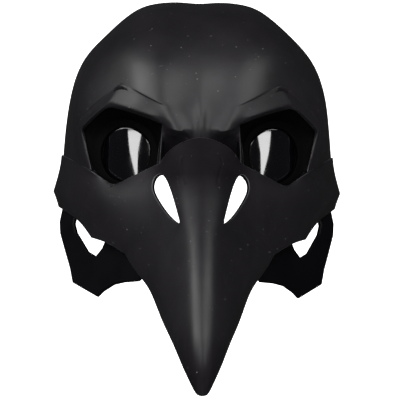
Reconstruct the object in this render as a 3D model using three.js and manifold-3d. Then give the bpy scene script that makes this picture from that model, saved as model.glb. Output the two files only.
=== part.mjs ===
// Plague doctor mask: a raven-skull face shell in two mouldings with jaw brackets, dark lenses and a head strap.
// Millimetres, +Z up, the beak points to -Y and +X is the wearer's left.
// The origin is the middle of the line through the two strap pivots, inside the wearer's head.
import * as THREE from 'three';
import { mergeVertices } from 'three/addons/utils/BufferGeometryUtils.js';
import Module from 'manifold-3d';

const wasm = await Module();
wasm.setup();
const { Manifold, Mesh } = wasm;

// ---- driving dimensions ---------------------------------------------------------------------------------
const SHELL_WALL = 2.4;          // moulded skull wall
const CUP_WALL = 1.8;            // eye cup funnel wall
const GAP = 0.3;                 // clearance between neighbouring pieces

const EYE_CENTRE = [48.7, -63.5, -6.4];
const EYE_TOE_OUT = THREE.MathUtils.degToRad(24);
const LENS_APERTURE = 18.4;      // radius of the round hole in the eye cup
const LENS_RADIUS = 35;          // radius of curvature of the lens dome
const LENS_FLANGE = 19.6;
const LENS_THICK = 1.6;
const CUP_DISC = 24.4;           // outer radius of the cup's back plate
const CUP_DISC_THICK = 2.4;
const RETAINER_THICK = 2;
const RETAINER_BORE = 17.2;
const RETAINER_SCREW_CIRCLE = 21.9;

const BRACKET_THICK = 3;
const BRACKET_BEVEL = 0.8;

const PIVOT_X = 83.4;            // middle of the temple plate
const TEMPLE_PLATE_THICK = 2;
const TAB_THICK = 2;
const TAB_X = 80.9;              // middle of the strap tab
const WEB_WIDTH = 25;
const WEB_THICK = 1.4;
const STRAP_TURN_Y = 58;         // where the side runs start to curve round the head
const STRAP_BACK = 105;

const PAD_THICK = 11;

// ---- materials ------------------------------------------------------------------------------------------
const finish = (color, roughness, metalness) => new THREE.MeshStandardMaterial({ color, roughness, metalness });
const SHELL_BLACK = finish('#232126', 0.42, 0);
const BRACKET_BLACK = finish('#151417', 0.5, 0);
const CUP_BLACK = finish('#121114', 0.45, 0);
const LENS_BLACK = finish('#08080a', 0.06, 0);
const RETAINER_BLACK = finish('#141416', 0.55, 0);
const SCREW_STEEL = finish('#3a3a3e', 0.35, 1);
const FOAM_GREY = finish('#1b1b1d', 0.95, 0);
const WEB_BLACK = finish('#111113', 0.9, 0);
const TAB_BLACK = finish('#17171a', 0.5, 0);
const PIVOT_STEEL = finish('#8a8b90', 0.3, 1);

// ---- control surfaces -----------------------------------------------------------------------------------
// A cage is a coarse sheet of quads. Its feature lines are creased, and subdivision rounds the rest.
class Cage {
  constructor() {
    this.points = [];
    this.faces = [];
    this.sharp = new Map();
    this.pinned = new Set();
    this.lookup = new Map();
  }

  point(p) {
    const key = p.map((v) => (v === 0 ? 0 : v)).join(' ');
    if (!this.lookup.has(key)) {
      this.lookup.set(key, this.points.length);
      this.points.push(new THREE.Vector3(...p));
    }
    return this.lookup.get(key);
  }

  face(corners) {
    this.faces.push(corners.map((p) => this.point(p)));
    this.faces.push(corners.map((p) => this.point(mirrored(p))).reverse());
  }

  crease(line, sharpness) {
    for (const side of [line, line.map(mirrored)]) {
      for (let k = 1; k < side.length; k += 1) {
        this.sharp.set(edgeKey(this.point(side[k - 1]), this.point(side[k])), sharpness);
      }
    }
  }

  pin(p) {
    this.pinned.add(this.point(p));
    this.pinned.add(this.point(mirrored(p)));
  }
}

const mirrored = (p) => [p[0] === 0 ? 0 : -p[0], p[1], p[2]];
const edgeKey = (a, b) => (a < b ? `${a} ${b}` : `${b} ${a}`);

function average(points) {
  const sum = new THREE.Vector3();
  points.forEach((p) => sum.add(p));
  return sum.divideScalar(points.length);
}

// One Catmull-Clark step with semi-sharp creases; the open border keeps its own curve.
function subdivide(cage) {
  const { points, faces, sharp, pinned } = cage;
  const facePoints = faces.map((face) => average(face.map((i) => points[i])));
  const edges = new Map();
  const aroundFaces = points.map(() => []);
  const aroundEdges = points.map(() => []);
  faces.forEach((face, f) => {
    face.forEach((a, k) => {
      const b = face[(k + 1) % face.length];
      const key = edgeKey(a, b);
      if (!edges.has(key)) {
        edges.set(key, { a, b, faces: [] });
        aroundEdges[a].push(key);
        aroundEdges[b].push(key);
      }
      edges.get(key).faces.push(f);
      aroundFaces[a].push(f);
    });
  });
  const sharpness = (key) => (edges.get(key).faces.length === 1 ? Infinity : sharp.get(key) ?? 0);

  const next = new Cage();
  const place = (p) => next.points.push(p.clone()) - 1;
  const vertexIndex = points.map((p, i) => {
    const hard = aroundEdges[i].filter((key) => sharpness(key) > 0);
    if (pinned.has(i) || hard.length > 2) {
      return place(p);
    }
    const n = aroundEdges[i].length;
    const middles = aroundEdges[i].map((key) => average([points[edges.get(key).a], points[edges.get(key).b]]));
    const smooth = average(aroundFaces[i].map((f) => facePoints[f]))
      .addScaledVector(average(middles), 2)
      .addScaledVector(p, n - 3)
      .divideScalar(n);
    if (hard.length < 2) {
      return place(smooth);
    }
    const ends = hard.map((key) => points[edges.get(key).a === i ? edges.get(key).b : edges.get(key).a]);
    const along = p.clone().multiplyScalar(0.75).addScaledVector(ends[0], 0.125).addScaledVector(ends[1], 0.125);
    const blend = Math.min(1, Math.min(...hard.map(sharpness)));
    return place(smooth.lerp(along, blend));
  });
  const edgeIndex = new Map();
  edges.forEach(({ a, b, faces: sides }, key) => {
    const middle = average([points[a], points[b]]);
    const s = Math.min(1, sharpness(key));
    const smooth = sides.length < 2 ? middle : average([points[a], points[b], ...sides.map((f) => facePoints[f])]);
    const e = place(smooth.lerp(middle, s));
    edgeIndex.set(key, e);
    if (sharpness(key) > 1 && sides.length === 2) {
      next.sharp.set(edgeKey(vertexIndex[a], e), sharpness(key) - 1);
      next.sharp.set(edgeKey(vertexIndex[b], e), sharpness(key) - 1);
    }
  });
  faces.forEach((face, f) => {
    const centre = place(facePoints[f]);
    face.forEach((a, k) => {
      const b = face[(k + 1) % face.length];
      const before = face[(k + face.length - 1) % face.length];
      next.faces.push([vertexIndex[a], edgeIndex.get(edgeKey(a, b)), centre, edgeIndex.get(edgeKey(before, a))]);
    });
  });
  pinned.forEach((i) => next.pinned.add(vertexIndex[i]));
  return next;
}

function surfaceNormals(cage) {
  const normals = cage.points.map(() => new THREE.Vector3());
  cage.faces.forEach((face) => {
    const [a, b, c, d] = face.map((i) => cage.points[i]);
    const normal = c.clone().sub(a).cross((d ?? a).clone().sub(b));
    face.forEach((i) => normals[i].add(normal));
  });
  return normals.map((n) => n.normalize());
}

// Closed solid between two offsets of a sheet, measured inwards from its outer face.
function sheetSolid(cage, outerDepth, innerDepth) {
  const normals = surfaceNormals(cage);
  const used = [...new Set(cage.faces.flat())];
  const slot = new Map(used.map((v, i) => [v, i]));
  const position = [];
  for (const depth of [outerDepth, innerDepth]) {
    used.forEach((i) => {
      const p = cage.points[i].clone().addScaledVector(normals[i], -depth);
      position.push(p.x, p.y, p.z);
    });
  }
  const inner = used.length;
  const index = [];
  const border = new Map();
  cage.faces.forEach((face) => {
    const [a, b, c, d] = face.map((i) => slot.get(i));
    const split = cage.points[face[0]].distanceTo(cage.points[face[2]])
      < cage.points[face[1]].distanceTo(cage.points[face[3]]);
    const triangles = split ? [[a, b, c], [a, c, d]] : [[a, b, d], [b, c, d]];
    triangles.forEach(([p, q, r]) => {
      index.push(p, q, r, inner + r, inner + q, inner + p);
    });
    [[a, b], [b, c], [c, d], [d, a]].forEach(([p, q]) => {
      if (border.has(`${q} ${p}`)) {
        border.delete(`${q} ${p}`);
      } else {
        border.set(`${p} ${q}`, [p, q]);
      }
    });
  });
  border.forEach(([p, q]) => {
    index.push(q, p, inner + p, q, inner + p, inner + q);
  });
  const geometry = new THREE.BufferGeometry();
  geometry.setAttribute('position', new THREE.Float32BufferAttribute(position, 3));
  geometry.setIndex(index);
  return geometry;
}

// Keeps only the part of a sheet whose face middles pass the test.
function patch(cage, keep) {
  const part = new Cage();
  part.points = cage.points;
  part.faces = cage.faces.filter((face) => keep(average(face.map((i) => cage.points[i]))));
  return part;
}

// ---- booleans -------------------------------------------------------------------------------------------
function toManifold(geometry) {
  const clean = geometry.clone();
  clean.deleteAttribute('normal');
  clean.deleteAttribute('uv');
  const merged = mergeVertices(clean, 1e-4);
  return new Manifold(new Mesh({
    numProp: 3,
    vertProperties: Float32Array.from(merged.attributes.position.array),
    triVerts: Uint32Array.from(merged.index.array),
  }));
}

function toGeometry(solid) {
  const mesh = solid.getMesh();
  const geometry = new THREE.BufferGeometry();
  geometry.setAttribute('position', new THREE.Float32BufferAttribute(mesh.vertProperties, 3));
  geometry.setIndex([...mesh.triVerts]);
  return geometry;
}

function combine(base, added, removed) {
  let solid = toManifold(base);
  added.forEach((g) => {
    solid = solid.add(toManifold(g));
  });
  removed.forEach((g) => {
    solid = solid.subtract(toManifold(g));
  });
  return toGeometry(solid);
}

// The largest body of a solid: trimming can leave crumbs.
function mainBody(geometry) {
  const bodies = toManifold(geometry).decompose();
  bodies.sort((a, b) => b.volume() - a.volume());
  return toGeometry(bodies[0]);
}

// ---- turned pieces --------------------------------------------------------------------------------------
// Profile of [radius, height] pairs turned about an axis through a point; height runs along the axis.
function turned(profile, segments, origin, axis) {
  const lathe = new THREE.LatheGeometry(profile.map(([r, h]) => new THREE.Vector2(r, h)), segments);
  const turn = new THREE.Quaternion().setFromUnitVectors(new THREE.Vector3(0, 1, 0), axis);
  return lathe.applyQuaternion(turn).translate(...origin);
}

function rod(radius, from, to, segments, origin, axis) {
  return turned([[0, from], [radius, from], [radius, to], [0, to]], segments, origin, axis);
}

// Pan-head screw: the head stands behind the origin and the shank runs forward along the axis.
function screw(headRadius, headHeight, shankRadius, shankLength, origin, axis) {
  const rim = headRadius * 0.7;
  const profile = [
    [0, shankLength], [shankRadius, shankLength], [shankRadius, 0], [headRadius, 0],
    [headRadius, -headHeight * 0.5], [rim, -headHeight], [rim * 0.45, -headHeight],
    [rim * 0.45, -headHeight * 0.45], [0, -headHeight * 0.45],
  ].reverse();
  return turned(profile, 10, origin, axis);
}

function mirrorGeometry(geometry) {
  const flipped = mergeVertices(stripped(geometry), 1e-4).scale(-1, 1, 1);
  const index = [...flipped.index.array];
  for (let k = 0; k < index.length; k += 3) {
    [index[k], index[k + 1]] = [index[k + 1], index[k]];
  }
  flipped.setIndex(index);
  return flipped;
}

function stripped(geometry) {
  const copy = geometry.clone();
  copy.deleteAttribute('normal');
  copy.deleteAttribute('uv');
  return copy;
}

// ---- cranium: forehead dome, brow plates, eye socket tops and temples -----------------------------------
// Every line runs from the middle of the face to the temple seam.
const TUCK = [
  [0, -100.2, -6], [6, -98.8, -6.3], [12, -85, -8.5], [20, -77, -15], [26.6, -86.5, -17],
];
const RECESS = [
  [0, -100.2, 1], [6, -98.6, 1], [11.5, -91, 3.5], [18.5, -84, 4.5], [25.6, -88.5, 1],
];
const SOCKET_EDGE = [
  [0, -103, 7], [3.8, -100, 7], [10.3, -102.4, 7], [18, -103, 8.2], [25.2, -95.5, 12.4],
  [42.5, -89.5, 19.5], [60.5, -75.5, 24.5], [69, -66.5, 17.5], [77, -55.5, 10], [74.5, -56.5, -3.5],
  [72, -58, -17],
];
const BROW_LIP = [
  [0, -103.6, 13], [3.8, -100.2, 12.5], [11, -101.4, 13], [18.3, -102.6, 13.8], [24.6, -99.8, 14.6],
  [42, -95.5, 21], [60, -80.5, 27], [70, -70.5, 19], [79, -58.5, 10.5], [77, -57, -3.5],
  [74.5, -55.5, -16],
];
const BROW_TOP = [
  [0, -103, 19.5], [3.8, -99.9, 19], [13.5, -99.3, 20], [19.2, -100.8, 22.6], [26.5, -100.2, 25],
  [39.5, -94.5, 31.5], [51.5, -83.5, 39.5], [68.5, -67.5, 27], [83, -51, 13.5], [82, -46.5, -1],
  [80, -42, -13.6],
];
const BROW_STEP = [
  [0, -100, 28], [4.5, -99.7, 27], [13.8, -99.6, 25], [19.4, -100.6, 24], [26.6, -100.6, 26.3],
  [39.3, -95.2, 32.8], [51.8, -82.2, 41.4], [69.2, -67.8, 28.2], [84, -50.8, 14.6], [83.8, -42, 0],
  [83.9, -31, -11.4],
];
const RIM = [
  [0, 12, 101], [11, 12, 102.3], [21, 12, 102.3], [31.5, 12, 101], [42, 12, 98], [54, 12, 89], [64, 11, 79],
  [80.5, 10, 63], [88.5, 9, 41], [92.3, 8, 13], [93.5, 6, -6.5],
];
// How far each dome line leaves its brow point upwards, and how far it runs level into the rear rim.
const DOME_RISE = [42, 42, 44, 43, 40, 34, 26, 20, 14, 10, 3];
const DOME_REACH = [63, 64, 66, 67, 65, 60, 52, 42, 30, 20, 12];
const DOME_LEAN = [0, 0, -0.5, -1, -0.5, 2, 4.5, 6.5, 8, 9, 9];
const DOME_STEPS = [0.25, 0.5, 0.75];

function domePoint(k, t) {
  const [ax, ay, az] = BROW_STEP[k];
  const [bx, by, bz] = RIM[k];
  const outward = (bx - ax) * 0.35;
  const rise = [ax + outward, ay + DOME_LEAN[k], az + DOME_RISE[k]];
  const reach = [bx - (bx - ax) * 0.08, by - DOME_REACH[k], bz];
  return [0, 1, 2].map((i) => {
    const from = i === 0 ? ax : i === 1 ? ay : az;
    const to = i === 0 ? bx : i === 1 ? by : bz;
    return (1 - t) ** 3 * from + 3 * (1 - t) ** 2 * t * rise[i] + 3 * (1 - t) * t * t * reach[i] + t ** 3 * to;
  });
}

function stripFaces(cage, lower, upper, first, last) {
  for (let k = first; k < last; k += 1) {
    cage.face([lower[k], lower[k + 1], upper[k + 1], upper[k]]);
  }
}

function craniumCage() {
  const cage = new Cage();
  const dome = DOME_STEPS.map((t) => BROW_STEP.map((_, k) => domePoint(k, t)));
  const last = RIM.length - 1;
  stripFaces(cage, TUCK, RECESS, 0, 4);
  stripFaces(cage, RECESS, SOCKET_EDGE, 0, 4);
  const rows = [SOCKET_EDGE, BROW_LIP, BROW_TOP, BROW_STEP, ...dome, RIM];
  for (let r = 1; r < rows.length; r += 1) {
    stripFaces(cage, rows[r - 1], rows[r], 0, last);
  }
  cage.crease(BROW_LIP.slice(4, 9), 2);
  cage.crease(BROW_TOP.slice(3, 9), 3);
  cage.crease(BROW_STEP.slice(3, 9), 1);
  cage.crease([BROW_TOP[6], BROW_LIP[6]], 2);
  cage.crease([BROW_TOP[8], BROW_LIP[8], SOCKET_EDGE[8]], 2);
  cage.crease(SOCKET_EDGE.slice(2, 5), 3);
  cage.crease([SOCKET_EDGE[2], BROW_LIP[2]], 1);
  [SOCKET_EDGE[4], SOCKET_EDGE[6], SOCKET_EDGE[8], SOCKET_EDGE[last], RIM[last], TUCK[4],
    BROW_TOP[6]].forEach((p) => cage.pin(p));
  return cage;
}

// ---- beak: beak sides, nostrils, cheeks and the lower half of the eye openings --------------------------
// Every line runs from the ridge of the beak outwards and back over the cheek.
const BEAK_TOP = [
  [0, -107.5, 4], [5.5, -106.6, 3.4], [12, -105.5, 1], [20.5, -102, -3.5], [26.5, -97.5, -12.5],
  [41, -88, -19.5], [56.5, -75, -27], [72, -58, -17.6], [82.5, -30, -12], [93.5, 6, -7.1],
];
const BEAK_UPPER = [
  [0, -119, -10.5], [5.5, -117.8, -11], [13, -115, -12.5], [24.5, -106.5, -18.8], [29.5, -101, -20.2],
  [42, -91, -25], [57.5, -79, -31.5], [73, -60, -24.5], [85.5, -32, -18.5], [95.8, 7, -15.5],
];
const BEAK_MID = [
  [0, -130, -24], [5.5, -128.7, -24.5], [13, -125.5, -25.5], [20.3, -117, -27.5], [32.3, -104, -28.5],
  [44, -94, -33], [58.5, -81, -38], [75, -61, -35.5], [88, -32, -30], [100.5, 9, -31],
];
const BEAK_LOWER = [
  [0, -141, -36.5], [5.3, -139.6, -37], [12, -136, -37.5], [16.8, -129, -39], [27.5, -113.5, -37.5],
  [41.5, -98, -44.5], [58.5, -81, -49], [73.5, -61, -46], [87, -32, -40], [98, 8.5, -37],
];
const BEAK_JOWL = [
  [0, -151.5, -49], [5, -150.2, -49.4], [11, -146.5, -49.6], [13.6, -140.5, -51], [19.5, -129.5, -48.5],
  [38.5, -107, -57], [59.5, -76, -64.8], [71.5, -57, -62], [81, -31, -49.8], [96.6, 6.5, -42],
];
// Ridge line of the beak, and its lower edge, from the cheeks down to the tip.
const RIDGE = [
  [-161.5, -62], [-171.8, -76.5], [-180.6, -90.5], [-188, -104.5], [-194, -118.5], [-197, -131.5], [-195.6, -143.5],
  [-190.5, -153.2],
];
const LOWER_EDGE = [
  [48.5, -88, -71.5], [42.5, -100, -81.5], [32.8, -115.5, -91.5], [27.6, -129, -104], [23.5, -143, -113.5],
  [17.3, -159, -124.5], [11.7, -175, -137.5], [6.8, -179.5, -147],
];
const RIDGE_FLAT = [4.8, 4.6, 4.4, 4.1, 3.8, 3.4, 2.8, 1.6];
const SHOULDER = [10.3, 9.8, 9.2, 8.6, 7.6, 6.4, 5, 2.9];
const SHOULDER_DROP = [0.8, 0.8, 0.8, 0.8, 0.8, 0.8, 0.6, -0.5];
const SIDE_SAG = [0, 0, 0, 0, 0, 0, 0, 0.3];
const SIDE_BULGE = [1.2, 1.8, 2, 2, 1.8, 1.4, 0.8, 0.2];

function beakSection(k) {
  const [ry, rz] = RIDGE[k];
  const edge = LOWER_EDGE[k];
  const shoulder = [SHOULDER[k], ry + SHOULDER[k] * 0.5, rz - SHOULDER_DROP[k]];
  const side = (t) => [
    shoulder[0] + (edge[0] - shoulder[0]) * t + SIDE_BULGE[k],
    shoulder[1] + (edge[1] - shoulder[1]) * t - SIDE_BULGE[k] * 0.7,
    shoulder[2] + (edge[2] - shoulder[2]) * t - SIDE_SAG[k],
  ];
  return [[0, ry, rz], [RIDGE_FLAT[k], ry + 1.3, rz - SHOULDER_DROP[k] * 0.4], shoulder, side(0.3), side(0.64), edge];
}

function beakCage() {
  const cage = new Cage();
  const upper = [BEAK_TOP, BEAK_UPPER, BEAK_MID, BEAK_LOWER, BEAK_JOWL];
  for (let r = 1; r < upper.length; r += 1) {
    stripFaces(cage, upper[r], upper[r - 1], 0, 3);
    if (r === 1) {
      stripFaces(cage, upper[r], upper[r - 1], 3, 4);
    }
    stripFaces(cage, upper[r], upper[r - 1], 4, 9);
  }
  const sections = RIDGE.map((_, k) => beakSection(k));
  cage.face([BEAK_JOWL[5], sections[0][5], BEAK_JOWL[6]]);
  let above = BEAK_JOWL;
  sections.forEach((section) => {
    stripFaces(cage, section, above, 0, 5);
    above = section;
  });
  cage.crease([BEAK_TOP, BEAK_UPPER, BEAK_MID, BEAK_LOWER, BEAK_JOWL, ...sections].map((row) => row[1]), 0.2);
  [BEAK_TOP[4], BEAK_TOP[6], BEAK_TOP[7], BEAK_TOP[9], BEAK_MID[9], BEAK_JOWL[9], BEAK_JOWL[7], BEAK_JOWL[3],
    LOWER_EDGE[0]].forEach((p) => cage.pin(p));
  return cage;
}

// ---- shells ---------------------------------------------------------------------------------------------
const cranium = subdivide(craniumCage());
const beak = subdivide(beakCage());

// Distance from a point to the first crossing of a sheet along a direction.
function reachToSheet(cage, origin, direction) {
  const geometry = sheetSolid(cage, 0, SHELL_WALL);
  const mesh = new THREE.Mesh(geometry, new THREE.MeshBasicMaterial({ side: THREE.DoubleSide }));
  const hits = new THREE.Raycaster(new THREE.Vector3(...origin), direction).intersectObject(mesh);
  return hits[0].distance;
}

// Boss standing on the inside of a shell, from a seat plane to just inside the wall, with a blind screw hole.
function boss(cage, seat, axis, radius, holeRadius) {
  const reach = reachToSheet(cage, seat, axis);
  return {
    body: rod(radius, 0, reach + SHELL_WALL * 0.5, 12, seat, axis),
    hole: rod(holeRadius, -1, reach, 10, seat, axis),
    depth: reach,
  };
}

const OUT_LEFT = new THREE.Vector3(1, 0, 0);
const OUT_RIGHT = new THREE.Vector3(-1, 0, 0);
const FORWARD = new THREE.Vector3(0, -1, 0);
const sideAxis = (side) => (side === 'left' ? OUT_LEFT : OUT_RIGHT);
const sidePoint = (side, p) => (side === 'left' ? p : mirrored(p));

const parts = [];
function add(name, geometry, material) {
  const mesh = new THREE.Mesh(stripped(geometry), material);
  mesh.name = name;
  parts.push(mesh);
}
function addPair(name, geometry, material) {
  add(`${name}_left`, geometry, material);
  add(`${name}_right`, mirrorGeometry(geometry), material);
}

// ---- jaw bracket: flat plate under the cheek with one large opening -------------------------------------
const BRACKET_CORNER = [88.8, 5, -30];
const BRACKET_PLAN = THREE.MathUtils.degToRad(32);
const BRACKET_TILT = THREE.MathUtils.degToRad(11);
const bracketNormal = new THREE.Vector3(Math.cos(BRACKET_PLAN), -Math.sin(BRACKET_PLAN), 0);
const bracketForward = new THREE.Vector3(-Math.sin(BRACKET_PLAN), -Math.cos(BRACKET_PLAN), 0);
const bracketDown = bracketNormal.clone().multiplyScalar(Math.sin(BRACKET_TILT))
  .add(new THREE.Vector3(0, 0, -Math.cos(BRACKET_TILT)));
const bracketOut = bracketForward.clone().cross(bracketDown).normalize();
// Outline and opening as [forward, down] distances from the rear top corner of the plate.
const BRACKET_OUTLINE = [
  [-2.6, 5], [-3.6, 13], [-4.4, 23], [-0.5, 31.5], [11, 44], [21.5, 55], [28.5, 64.5], [64, 72.5], [70, 68.5],
  [82, 63.5], [94, 61.5], [112, 60], [119, 55], [112, 47.5], [98, 42], [84.5, 36.5], [70, 28], [57, 20], [44, 11],
  [30, 5], [14, 2], [2, 1],
];
const BRACKET_OPENING = [
  [16.5, 15.5], [15.5, 23.5], [20.5, 29.5], [28.5, 34.5], [41, 42.5], [53, 45.5], [60, 39.5], [62.3, 34.5],
  [58, 27], [50, 20.5], [39, 16], [28, 14.5],
];

function bracketPoint(a, b) {
  return new THREE.Vector3(...BRACKET_CORNER).addScaledVector(bracketForward, a).addScaledVector(bracketDown, b);
}

const BRACKET_SCREWS = [[5, 8], [24, 9]];

function jawBracket() {
  const shape = new THREE.Shape(BRACKET_OUTLINE.map(([a, b]) => new THREE.Vector2(a, -b)));
  shape.holes.push(new THREE.Path(BRACKET_OPENING.map(([a, b]) => new THREE.Vector2(a, -b))));
  const plate = new THREE.ExtrudeGeometry(shape, {
    depth: BRACKET_THICK - 2 * BRACKET_BEVEL,
    bevelThickness: BRACKET_BEVEL,
    bevelSize: BRACKET_BEVEL,
    bevelOffset: -BRACKET_BEVEL,
    bevelSegments: 1,
  });
  plate.translate(0, 0, -BRACKET_THICK / 2 + BRACKET_BEVEL);
  const frame = new THREE.Matrix4().makeBasis(bracketForward, bracketDown.clone().negate(), bracketOut.clone().negate());
  plate.applyMatrix4(frame).translate(...BRACKET_CORNER);
  const holes = BRACKET_SCREWS.map(([a, b]) => rod(1.8, -4, 4, 10, bracketPoint(a, b).toArray(), bracketOut));
  return combine(plate, [], holes);
}

const bracketBosses = BRACKET_SCREWS.map(([a, b]) => {
  const seat = bracketPoint(a, b).addScaledVector(bracketOut, BRACKET_THICK / 2 + GAP).toArray();
  return boss(beak, seat, bracketOut, 3.6, 1.8);
});

// ---- temple plates and the screws that join the two mouldings -------------------------------------------
const TEMPLE_SCREW_UP = [0, -7, 15];
const TEMPLE_SCREW_DOWN = [0, -7, -18];
const templeSeat = (p) => [PIVOT_X + TEMPLE_PLATE_THICK / 2 + GAP, p[1], p[2]];
const templeBossUp = boss(cranium, templeSeat(TEMPLE_SCREW_UP), OUT_LEFT, 3.4, 1.8);
const templeBossDown = boss(beak, templeSeat(TEMPLE_SCREW_DOWN), OUT_LEFT, 3.4, 1.8);

const NOSE_SCREWS_X = 7;
const NOSE_SCREW_Z = -1.5;
const noseInner = [NOSE_SCREWS_X, -80, NOSE_SCREW_Z];
const craniumBackAtNose = noseInner[1] - reachToSheet(cranium, noseInner, FORWARD);
const noseSeat = [NOSE_SCREWS_X, craniumBackAtNose - SHELL_WALL - 5, NOSE_SCREW_Z];
const noseBoss = boss(beak, noseSeat, FORWARD, 3.2, 1.6);

function craniumShell() {
  const noseHole = rod(1.6, -10, 6, 10, [NOSE_SCREWS_X, craniumBackAtNose, NOSE_SCREW_Z], FORWARD);
  const noseSpot = rod(3.6, -6, 0.6, 14, [NOSE_SCREWS_X, craniumBackAtNose, NOSE_SCREW_Z], FORWARD);
  return combine(
    sheetSolid(cranium, 0, SHELL_WALL),
    [templeBossUp.body, mirrorGeometry(templeBossUp.body)],
    [templeBossUp.hole, noseHole, noseSpot].flatMap((g) => [g, mirrorGeometry(g)]),
  );
}

function beakShell() {
  const bosses = [templeBossDown, noseBoss, ...bracketBosses];
  return combine(
    sheetSolid(beak, 0, SHELL_WALL),
    bosses.flatMap((b) => [b.body, mirrorGeometry(b.body)]),
    bosses.flatMap((b) => [b.hole, mirrorGeometry(b.hole)]),
  );
}

add('cranium_shell', craniumShell(), SHELL_BLACK);
add('beak_shell', beakShell(), SHELL_BLACK);
addPair('jaw_bracket', jawBracket(), BRACKET_BLACK);
BRACKET_SCREWS.forEach(([a, b], k) => {
  const seat = bracketPoint(a, b).addScaledVector(bracketOut, -BRACKET_THICK / 2 - GAP).toArray();
  const length = BRACKET_THICK + 2 * GAP + bracketBosses[k].depth - 1;
  addPair(`bracket_screw_${k === 0 ? 'rear' : 'front'}`, screw(3.2, 1.8, 1.4, length, seat, bracketOut), SCREW_STEEL);
});
addPair('nose_screw', screw(3, 1.8, 1.2, noseBoss.depth + 3.6, [
  NOSE_SCREWS_X, craniumBackAtNose - 0.3, NOSE_SCREW_Z], FORWARD), SCREW_STEEL);

// ---- eye cups, lenses and retaining rings ---------------------------------------------------------------
const eyeAxis = new THREE.Vector3(Math.sin(EYE_TOE_OUT), -Math.cos(EYE_TOE_OUT), 0);
const eyeAcross = new THREE.Vector3(Math.cos(EYE_TOE_OUT), Math.sin(EYE_TOE_OUT), 0);
// Front edge of the funnel, just behind the six-sided eye opening, from the inner top corner clockwise.
const CUP_FRONT = [
  [24.2, -94.2, 13.4], [42.3, -88.4, 20.8], [60.9, -74.2, 25.8], [69.8, -65.1, 18.6], [78.2, -54, 10.6],
  [74.6, -54.6, -3.5], [72.3, -54.8, -16.4], [64.5, -62.3, -23.3], [57, -70.3, -28], [41, -83.3, -21],
  [25.8, -87.7, -15], [24.8, -88.2, 1],
];
const CUP_BACK_ANGLES = [137, 104, 72, 50, 29, 5, -24, -47, -70, -113, -158, 165];
const CUP_BACK_RADIUS = 23.2;

function eyePoint(radius, degrees, depth) {
  const angle = THREE.MathUtils.degToRad(degrees);
  return new THREE.Vector3(...EYE_CENTRE)
    .addScaledVector(eyeAcross, radius * Math.cos(angle))
    .add(new THREE.Vector3(0, 0, radius * Math.sin(angle)))
    .addScaledVector(eyeAxis, -depth);
}

function cupCage() {
  const cage = new Cage();
  const back = CUP_BACK_ANGLES.map((angle) => eyePoint(CUP_BACK_RADIUS, angle, 1));
  const middle = CUP_FRONT.map((p, k) => new THREE.Vector3(...p).lerp(back[k], 0.5));
  const loops = [CUP_FRONT.map((p) => new THREE.Vector3(...p)), middle, back];
  loops.forEach((loop) => cage.points.push(...loop));
  const n = CUP_FRONT.length;
  for (let r = 0; r < 2; r += 1) {
    for (let k = 0; k < n; k += 1) {
      const next = (k + 1) % n;
      cage.faces.push([r * n + k, (r + 1) * n + k, (r + 1) * n + next, r * n + next]);
    }
  }
  [0, 2, 4, 6, 8, 10].forEach((k) => {
    cage.sharp.set(edgeKey(k, n + k), 1);
    cage.pinned.add(k);
  });
  return cage;
}

const retainerScrewAt = (angle, depth) => eyePoint(RETAINER_SCREW_CIRCLE, angle, depth).toArray();
const RETAINER_SCREW_ANGLES = { top: 90, inner: 210, outer: 330 };
const CUP_SCREW_DEPTH = CUP_DISC_THICK + LENS_THICK + 2 * GAP + RETAINER_THICK;

function eyeCup() {
  const funnel = sheetSolid(subdivide(cupCage()), 0, CUP_WALL);
  const disc = turned(
    [[LENS_APERTURE, 0], [CUP_DISC, 0], [CUP_DISC, -CUP_DISC_THICK], [LENS_APERTURE, -CUP_DISC_THICK],
      [LENS_APERTURE, 0]].reverse(),
    32, EYE_CENTRE, eyeAxis);
  const holes = Object.values(RETAINER_SCREW_ANGLES).map((angle) => rod(
    1.2, -0.9, 4, 12, retainerScrewAt(angle, CUP_DISC_THICK + 2.3), eyeAxis));
  const shifts = [[0.5, 0, 0], [-0.5, 0, 0], [0, 0.5, 0], [0, 0, -0.5]];
  const shells = [cranium, beak].flatMap((sheet) => shifts.map(
    (shift) => sheetSolid(sheet, -GAP, SHELL_WALL + GAP).translate(...shift)));
  return mainBody(combine(funnel, [disc], [...holes, ...shells]));
}

function lens() {
  const rim = LENS_APERTURE - GAP - 0.1;
  const front = -CUP_DISC_THICK - GAP;
  const drop = LENS_RADIUS - Math.sqrt(LENS_RADIUS ** 2 - rim ** 2);
  const innerRadius = LENS_RADIUS - LENS_THICK;
  const profile = [];
  const steps = 4;
  for (let k = 0; k <= steps; k += 1) {
    const r = (rim * k) / steps;
    profile.push([r, front + drop - (LENS_RADIUS - Math.sqrt(LENS_RADIUS ** 2 - r ** 2))]);
  }
  profile.push([LENS_FLANGE, front], [LENS_FLANGE, front - LENS_THICK], [rim - 1.8, front - LENS_THICK]);
  for (let k = steps - 1; k >= 0; k -= 1) {
    const r = ((rim - 1.8) * k) / steps;
    const centre = front + drop - LENS_RADIUS;
    profile.push([r, centre + Math.sqrt(innerRadius ** 2 - r ** 2)]);
  }
  return turned(profile.reverse(), 32, EYE_CENTRE, eyeAxis);
}

function lensRetainer() {
  const front = -CUP_DISC_THICK - 2 * GAP - LENS_THICK;
  const ring = turned(
    [[RETAINER_BORE, front], [CUP_DISC, front], [CUP_DISC, front - RETAINER_THICK],
      [RETAINER_BORE, front - RETAINER_THICK], [RETAINER_BORE, front]].reverse(),
    32, EYE_CENTRE, eyeAxis);
  const holes = Object.values(RETAINER_SCREW_ANGLES).map((angle) => rod(
    1.2, -4, 4, 12, retainerScrewAt(angle, CUP_SCREW_DEPTH - 1), eyeAxis));
  return combine(ring, [], holes);
}

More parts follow.
